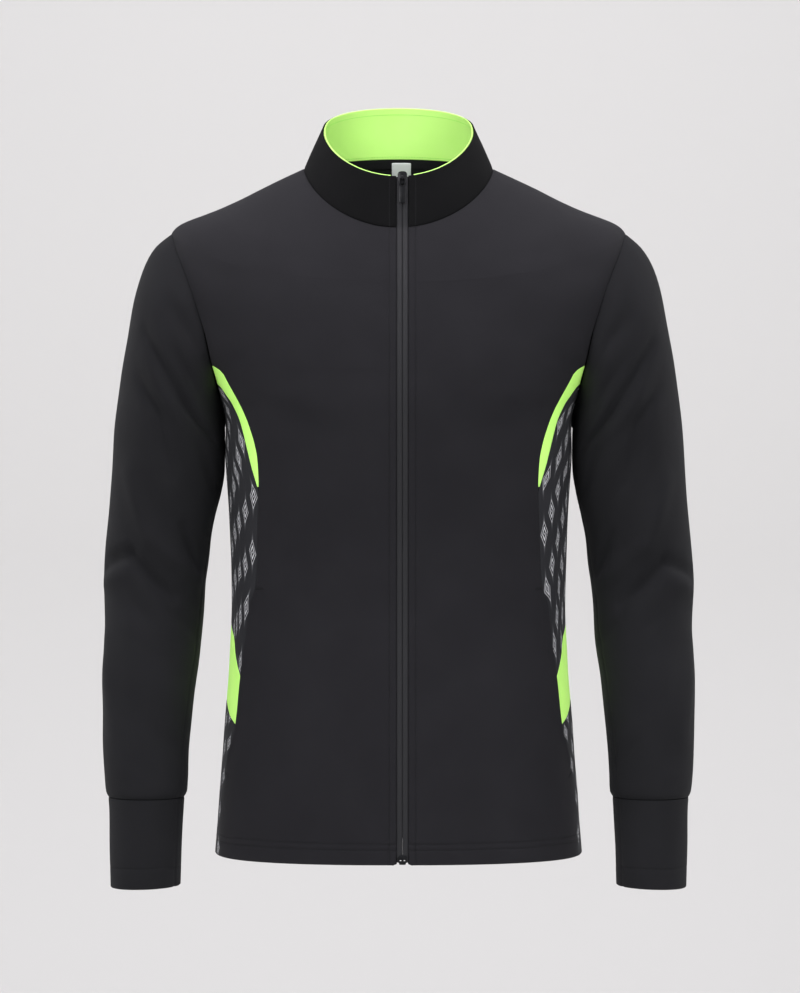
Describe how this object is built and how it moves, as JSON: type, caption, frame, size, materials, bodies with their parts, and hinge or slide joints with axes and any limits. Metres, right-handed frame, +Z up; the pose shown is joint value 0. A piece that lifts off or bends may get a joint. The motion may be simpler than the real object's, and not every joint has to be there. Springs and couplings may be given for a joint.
{
  "type": "running jacket",
  "caption": "Full-zip long-sleeved running jacket, filled out and hollow, with a stand collar, shaped side panels, insets and long cuffs.",
  "frame": {"origin": "middle of the neck base at the height of the shoulders' neck points, where a wearer's neck and shoulders hold the jacket", "axes": "+Z up, the front with its zip faces -Y, +X towards the wearer's left arm"},
  "size_m": [0.6008, 0.2524, 0.7904],
  "materials": {
    "black_knit": "smooth interlock stretch knit, soft sheen",
    "neon_knit": "smooth neon green stretch knit",
    "printed_knit": "dark knit with a small grey and white chevron print",
    "zip_coil": "black nylon coil on woven tape",
    "zip_metal": "gunmetal, satin",
    "label_tape": "pale grey woven tape, bare"
  },
  "bodies": {
    "jacket": {"front_left": "black_knit", "front_right": "black_knit", "back": "black_knit", "side_upper_left": "printed_knit", "side_upper_right": "printed_knit", "side_lower_left": "printed_knit", "side_lower_right": "printed_knit", "hip_inset_left": "neon_knit", "hip_inset_right": "neon_knit", "underarm_inset_left": "neon_knit", "underarm_inset_right": "neon_knit", "sleeve_left": "black_knit", "sleeve_right": "black_knit", "cuff_left": "black_knit", "cuff_right": "black_knit", "collar": "black_knit", "collar_lining": "neon_knit", "neck_label": "label_tape", "zip_left": "zip_coil", "zip_right": "zip_coil", "zip_box": "zip_metal", "zip_slider": "zip_metal"},
    "tab": {"pull_tab": "zip_metal"}
  },
  "joints": [
    {"name": "tab_swing", "type": "hinge", "parent": "jacket", "child": "tab", "pos_m": [0.0039, -0.0738, -0.01373], "axis": [-1, 0, 0], "range_deg": [0, 165]}
  ]
}
